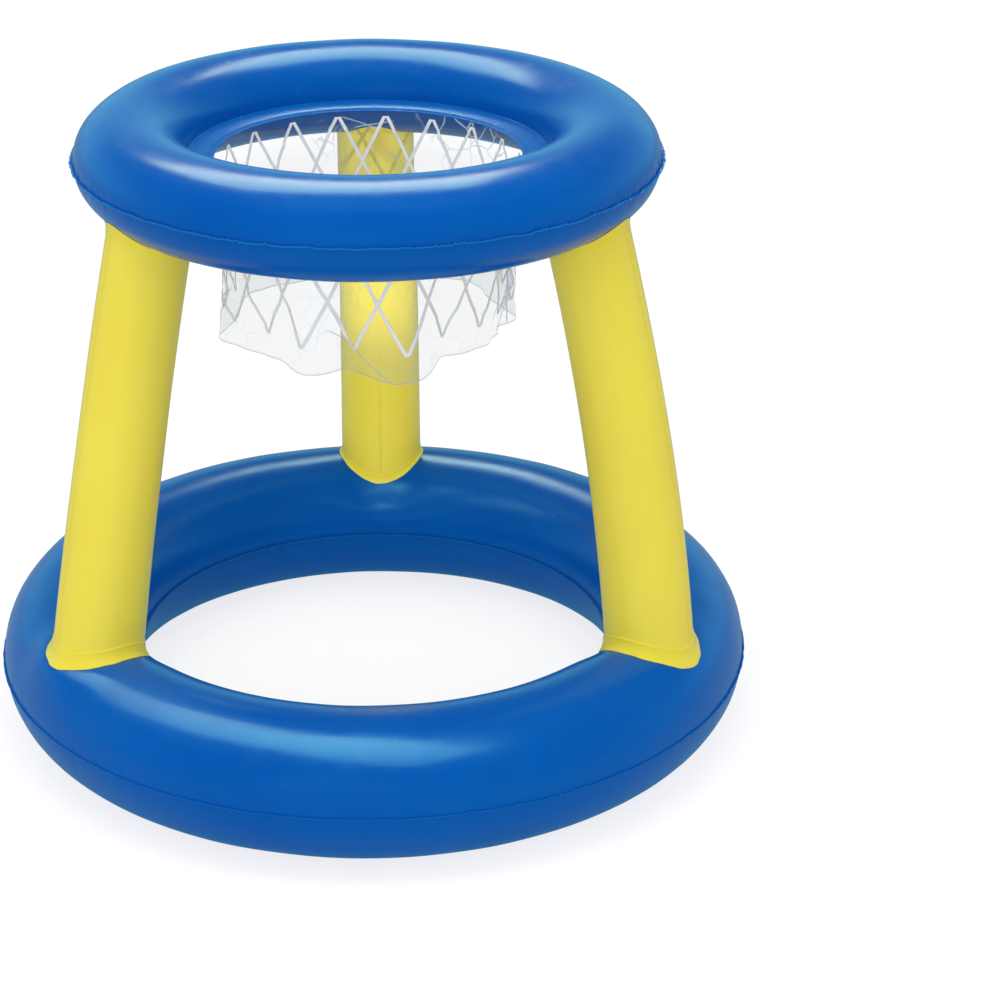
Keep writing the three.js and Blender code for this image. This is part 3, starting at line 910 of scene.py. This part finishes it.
def clear_film():
    material, tree, surface = new_material("clear film with printed net")
    ink = net_print(tree)
    place = shader(tree, "TexCoord").outputs["Object"]
    glints, folds = crumple_glints(tree, place), painted_fold_lines(tree)
    # The folds and the hem's edge are painted as grey-blue lines of reflection and shade.
    painted_fold_tone = blended(tree, folds, (0.42, 0.52, 0.62, 1), (0.6, 0.7, 0.8, 1))
    # White painted glints along the little crease lines, where crumpled film would catch the light.
    film_tone = blended(tree, glints, painted_fold_tone, (0.95, 0.98, 1.0, 1))
    colour = blended(tree, ink, film_tone, (0.93, 0.95, 0.97, 1))
    tree.links.new(colour, surface.inputs["Base Color"])
    # The painted glints and fold lines also make the film less clear along them.
    crease = calculated(tree, "MAXIMUM", glints, folds)
    smooth_haze = remapped(tree, print_place(tree).outputs["Y"], 0.3, 0.9, 0.04, 0.1)
    haze = remapped(tree, crease, 0.0, 1.0, smooth_haze, 0.7)
    inked = calculated(tree, "MULTIPLY", ink, 0.97)
    tree.links.new(calculated(tree, "MAXIMUM", haze, inked), surface.inputs["Alpha"])
    tree.links.new(remapped(tree, ink, 0.0, 1.0, 0.12, 0.4), surface.inputs["Roughness"])
    wrinkle = shader(tree, "TexVoronoi", {"feature": "DISTANCE_TO_EDGE"}, Vector=place, Scale=45.0)
    bump = shader(tree, "Bump", Strength=0.25, Distance=0.0006, Height=wrinkle.outputs["Distance"])
    tree.links.new(bump.outputs["Normal"], surface.inputs["Normal"])
    return material


skirt.data.materials.append(clear_film())
hand_over(skirt, "printed_net_film", "net_skirt")

# Valves
# Each is moulded in clear soft vinyl: a collar welded on the ring, a stem that pushes in flush, a
# stopper on a strap, and a flap inside that closes behind the breath.
valve_sides = 48
disc_radius = 0.012
disc_thickness = 0.0012
sleeve_depth = 0.008
sleeve_inner = 0.0057
sleeve_outer = 0.0068
stem_radius = 0.0054
bore_radius = 0.0036
running_gap = 0.0003
weld_gap = 0.0003
head_radius = 0.007
head_thickness = 0.0012
valve_travel = 0.009
bead_thickness = 0.0012
hinge_offset = 0.0092
strap_width = 0.004
lug_reach = 0.0012
cap_radius = 0.006
cap_thickness = 0.0014
plug_depth = 0.003
tip_taper = 0.0005
flap_thickness = 0.0006
flap_overlap = 0.0011
rim_drop = 0.0004
rim_slope = 0.0018
lug_sink = 0.0008
arm_sink = 0.001
edge_softness = 0.0001
flap_edge_softness = 0.00006
disc_top = weld_gap + disc_thickness
head_bottom = disc_top + running_gap
head_top = head_bottom + head_thickness
bead_top = -sleeve_depth - running_gap - valve_travel
stem_bottom = bead_top - bead_thickness
cap_bottom = head_top + running_gap
plug_radius = bore_radius - running_gap


def lathe(outline, closed=True):
    """A circle extruded through the outline's (radius, height) points."""
    start_piece()
    radius, height = outline[0]
    bpy.ops.mesh.primitive_circle_add(vertices=valve_sides, radius=radius, location=(0, 0, height))
    made = bpy.context.object
    bpy.ops.object.transform_apply(location=True, rotation=True, scale=True)
    edit(made)
    bpy.ops.mesh.select_all(action="SELECT")
    points = outline[1:] + ([outline[0]] if closed else [])
    for next_radius, next_height in points:
        bpy.ops.mesh.extrude_edges_move(
            TRANSFORM_OT_translate={"value": (0, 0, next_height - height)}
        )
        grow = next_radius / radius
        bpy.ops.transform.resize(value=(grow, grow, 1))
        radius, height = next_radius, next_height
    if not closed:
        bpy.ops.mesh.edge_face_add()
        select_where(made, lambda place: abs(place.z - outline[0][1]) < 1e-6
                     and abs(math.hypot(place.x, place.y) - outline[0][0]) < 1e-6)
        bpy.ops.mesh.edge_face_add()
    bpy.ops.mesh.select_all(action="SELECT")
    bpy.ops.mesh.remove_doubles(threshold=merge_distance)
    bpy.ops.mesh.normals_make_consistent(inside=False)
    leave_edit()
    return made


def bar(start, end, bottom, thickness):
    """A strap that reaches out from the valve's axis, with rounded edges."""
    start_piece()
    bpy.ops.mesh.primitive_cube_add(
        size=1, location=((start + end) / 2, 0, bottom + thickness / 2),
        scale=(end - start, strap_width, thickness),
    )
    made = bpy.context.object
    bpy.ops.object.transform_apply(location=True, rotation=True, scale=True)
    edit(made)
    bpy.ops.mesh.select_all(action="SELECT")
    bpy.ops.mesh.bevel(offset=thickness / 4, segments=2, affect="EDGES")
    leave_edit()
    return made


def join_parts(first, *others):
    """Fuses the parts by boolean union into one moulded piece."""
    for other in others:
        fuse = first.modifiers.new("fuse", "BOOLEAN")
        fuse.operation = "UNION"
        fuse.solver = "EXACT"
        fuse.object = other
        apply_modifiers(first)
        bpy.data.objects.remove(other)
    return first


def soften(piece, width):
    bevel = piece.modifiers.new("soft edges", "BEVEL")
    bevel.width = width
    bevel.segments = 2
    bevel.limit_method = "ANGLE"
    bevel.angle_limit = math.radians(40)
    apply_modifiers(piece)


def clear_vinyl():
    material, tree, surface = new_material("milky clear valve vinyl")
    place = shader(tree, "TexCoord").outputs["Object"]
    cloud = shader(tree, "TexNoise", Vector=place, Scale=180.0, Detail=3.0).outputs["Fac"]
    tone = blended(tree, cloud, (0.72, 0.82, 0.9, 1), (0.82, 0.9, 0.95, 1))
    tree.links.new(tone, surface.inputs["Base Color"])
    tree.links.new(remapped(tree, cloud, 0.3, 0.7, 0.22, 0.34), surface.inputs["Roughness"])
    bump = shader(tree, "Bump", Strength=0.15, Distance=0.0001, Height=cloud)
    tree.links.new(bump.outputs["Normal"], surface.inputs["Normal"])
    surface.inputs["Transmission Weight"].default_value = 0.35
    surface.inputs["Subsurface Weight"].default_value = 0.2
    surface.inputs["Subsurface Scale"].default_value = 0.002
    return material


valve_vinyl = clear_vinyl()


def valve_collar():
    collar = lathe([
        (sleeve_inner, disc_top), (sleeve_inner, -sleeve_depth), (sleeve_outer, -sleeve_depth),
        (sleeve_outer, weld_gap), (disc_radius, weld_gap), (disc_radius, disc_top - rim_drop),
        (disc_radius - rim_slope, disc_top - rim_drop / 2), (disc_radius - rim_slope - rim_drop, disc_top),
    ])
    soften(collar, edge_softness)
    return collar


def valve_stem():
    stem = lathe([
        (bore_radius, head_top), (bore_radius, stem_bottom), (sleeve_outer, stem_bottom),
        (sleeve_outer, bead_top), (stem_radius, bead_top), (stem_radius, head_bottom),
        (head_radius, head_bottom), (head_radius, head_top),
    ])
    lug = bar(stem_radius - lug_sink, hinge_offset + lug_reach, head_bottom, head_thickness)
    stem = join_parts(stem, lug)
    soften(stem, edge_softness)
    return stem


def valve_stopper():
    cap = lathe([
        (plug_radius - tip_taper, cap_bottom - plug_depth), (plug_radius, cap_bottom),
        (cap_radius, cap_bottom), (cap_radius, cap_bottom + cap_thickness),
    ], closed=False)
    arm = bar(cap_radius - arm_sink, hinge_offset, cap_bottom, cap_thickness / 2)
    cap = join_parts(cap, arm)
    soften(cap, edge_softness)
    return cap


def valve_flap():
    top = stem_bottom - running_gap
    disc = lathe([
        (bore_radius + flap_overlap, top), (bore_radius + flap_overlap, top - flap_thickness),
    ], closed=False)
    tab = bar(bore_radius, sleeve_outer, top - flap_thickness, flap_thickness)
    disc = join_parts(disc, tab)
    soften(disc, flap_edge_softness)
    return disc


for name, ring, side, azimuth in (
    ("base_valve", base_ring, 1, math.radians(157.5)),
    ("hoop_valve", hoop_ring, -1, math.radians(30)),
):
    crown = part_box(f"{name}_collar")[0 if side > 0 else 1].z
    seat_height = crown + side * sleeve_depth
    seat = (
        Matrix.Rotation(azimuth, 4, "Z")
        @ Matrix.Translation((ring.radius, 0, seat_height))
        @ Matrix.Rotation(0 if side > 0 else math.pi, 4, "X")
    )
    for part, make in (
        ("collar", valve_collar), ("stem", valve_stem), ("stopper", valve_stopper), ("flap", valve_flap),
    ):
        made = make()
        made.data.transform(seat)
        smooth(made, 40)
        made.data.materials.append(valve_vinyl)
        body = "root" if part == "collar" else f"{name}_{part}"
        hand_over(made, f"{name}_{part}_moulding", f"{name}_{part}", body)

# Studio
# A white floor that keeps a soft shadow and a white world, which gloss sees as a dimmer, pale blue room.
# Two broad lamps light everything, and a lamp and a spot the rear leg alone. Three strips show only in
# the gloss of the blue film, as its long bands of light.
start_piece()
bpy.ops.mesh.primitive_plane_add(size=30)
floor = bpy.context.object
floor.name = "studio_floor"
floor_material, floor_tree, floor_surface = new_material("white studio floor")
floor_surface.inputs["Base Color"].default_value = (0.3, 0.3, 0.3, 1)
floor_surface.inputs["Roughness"].default_value = 0.9
floor_surface.inputs["Specular IOR Level"].default_value = 0.0
floor.data.materials.append(floor_material)

world = bpy.data.worlds.new("white studio")
bpy.context.scene.world = world
world.use_nodes = True
world_tree = world.node_tree
background = world_tree.nodes["Background"]
background.inputs["Strength"].default_value = 1.0


def background_seen(tree, unseen, mirrored, seen):
    """The light that falls on things, what their gloss shows, and the background itself."""
    path = shader(tree, "LightPath").outputs
    straight = calculated(tree, "MAXIMUM", path["Is Camera Ray"], path["Is Transmission Ray"])
    lit = blended(tree, path["Is Glossy Ray"], unseen, mirrored)
    return blended(tree, straight, lit, seen)


ambient = (0.74, 0.74, 0.74, 1)
white = (1, 1, 1, 1)
black = (0, 0, 0, 1)
pale_blue = (0.3, 0.85, 1.0, 1)
floor_seen = (0.78, 0.78, 0.78, 1)
floor_bounce = (0.42, 0.42, 0.42, 1)
floor_mirrored = (0.04, 0.22, 0.28, 1)
heading = shader(world_tree, "SeparateXYZ", Vector=shader(world_tree, "TexCoord").outputs["Generated"])
ceiling = remapped(world_tree, heading.outputs["Z"], 0.25, 0.5, 1.0, 0.25)
backdrop = remapped(world_tree, heading.outputs["Y"], -0.3, 0.3, 0.3, 1.0)
surround = calculated(world_tree, "MULTIPLY", ceiling, backdrop)
room = blended(world_tree, surround, black, pale_blue)
world_tree.links.new(
    background_seen(world_tree, ambient, room, white), background.inputs["Color"],
)
floor_tree.links.new(
    background_seen(floor_tree, floor_bounce, floor_mirrored, floor_seen),
    floor_surface.inputs["Emission Color"],
)
floor_surface.inputs["Emission Strength"].default_value = 1.0


def facing_from(place, aim):
    return (Vector(aim) - Vector(place)).to_track_quat("-Z", "Y")


def soft_lamp(name, place, aim, size, radiance, turn=0):
    """An area lamp of a given brightness, whatever its size; turn swings it round the upright."""
    start_piece()
    facing = Quaternion((0, 0, 1), math.radians(turn)) @ facing_from(place, aim)
    bpy.ops.object.light_add(type="AREA", location=place, rotation=facing.to_euler())
    lamp = bpy.context.object
    lamp.name = name
    lamp.data.shape = "RECTANGLE"
    lamp.data.size, lamp.data.size_y = size
    lamp.data.energy = radiance * math.pi * size[0] * size[1]
    lamp.visible_camera = False
    lamp.visible_transmission = False
    return lamp


def light_only(lamp, names):
    lit = bpy.data.collections.new(f"lit by {lamp.name}")
    for name in names:
        lit.objects.link(bpy.data.objects[name])
    lamp.light_linking.receiver_collection = lit


def shine_only_on(lamp, names, colour):
    """Keeps a lamp for the gloss of the named pieces."""
    lamp.visible_diffuse = False
    lamp.data.color = colour
    light_only(lamp, names)


overhead_lamp = soft_lamp(
    "overhead_lamp", place=(-0.12, -0.55, 2.6), aim=(-0.12, -0.3, 0), size=(2.0, 0.8), radiance=4.0,
)
overhead_lamp.visible_glossy = False
fill_lamp = soft_lamp(
    "fill_lamp", place=(-0.7, -3.0, 0.95), aim=(0, 0, 0.25), size=(1.8, 1.2), radiance=2.6,
)
fill_lamp.visible_glossy = False
rear_leg_lamp = soft_lamp(
    "rear_leg_lamp", place=(0, -1.5, 0.35), aim=(0, 0.2, 0.3), size=(1.0, 0.6), radiance=3.5,
)
rear_leg_lamp.visible_glossy = False
light_only(rear_leg_lamp, ["rear_leg_left_film", "rear_leg_right_film", "rear_leg_foot_weld_collar"])

start_piece()
rear_leg_spot_place = (0, -1.0, 0.25)
rear_leg_spot_facing = facing_from(rear_leg_spot_place, (0, 0.17, 0.39))
bpy.ops.object.light_add(
    type="SPOT", location=rear_leg_spot_place, rotation=rear_leg_spot_facing.to_euler(),
)
rear_leg_spot = bpy.context.object
rear_leg_spot.name = "rear_leg_spot"
rear_leg_spot.data.energy = 30
rear_leg_spot.data.spot_size = math.radians(17)
rear_leg_spot.data.spot_blend = 0.6
rear_leg_spot.data.shadow_soft_size = 0.02
rear_leg_spot.visible_glossy = False
light_only(rear_leg_spot, ["rear_leg_left_film", "rear_leg_right_film", "rear_leg_top_weld_collar"])

base_front_strip = soft_lamp(
    "base_front_strip", place=(-0.38, -0.2, 0.75), aim=(-0.38, -0.2, 0), size=(1.7, 0.45),
    radiance=6.5, turn=-39,
)
base_front_strip.data.spread = math.radians(110)
shine_only_on(base_front_strip, ["base_ring_upper_film"], (0.85, 0.62, 0.34))
base_rear_strip = soft_lamp(
    "base_rear_strip", place=(-0.07, 0.85, 0.9), aim=(0, 0.2, 0.11), size=(0.4, 0.3), radiance=0.42,
)
base_rear_strip.data.spread = math.radians(28)
shine_only_on(base_rear_strip, ["base_ring_upper_film"], (0.9, 0.8, 0.6))
hoop_strip = soft_lamp(
    "hoop_strip", place=(-0.15, 0.65, 1.6), aim=(-0.02, -0.05, 0.5), size=(1.1, 0.8), radiance=10.4,
)
shine_only_on(hoop_strip, ["hoop_ring_upper_film"], (1.0, 0.84, 0.53))

bpy.context.scene.view_settings.view_transform = "Standard"
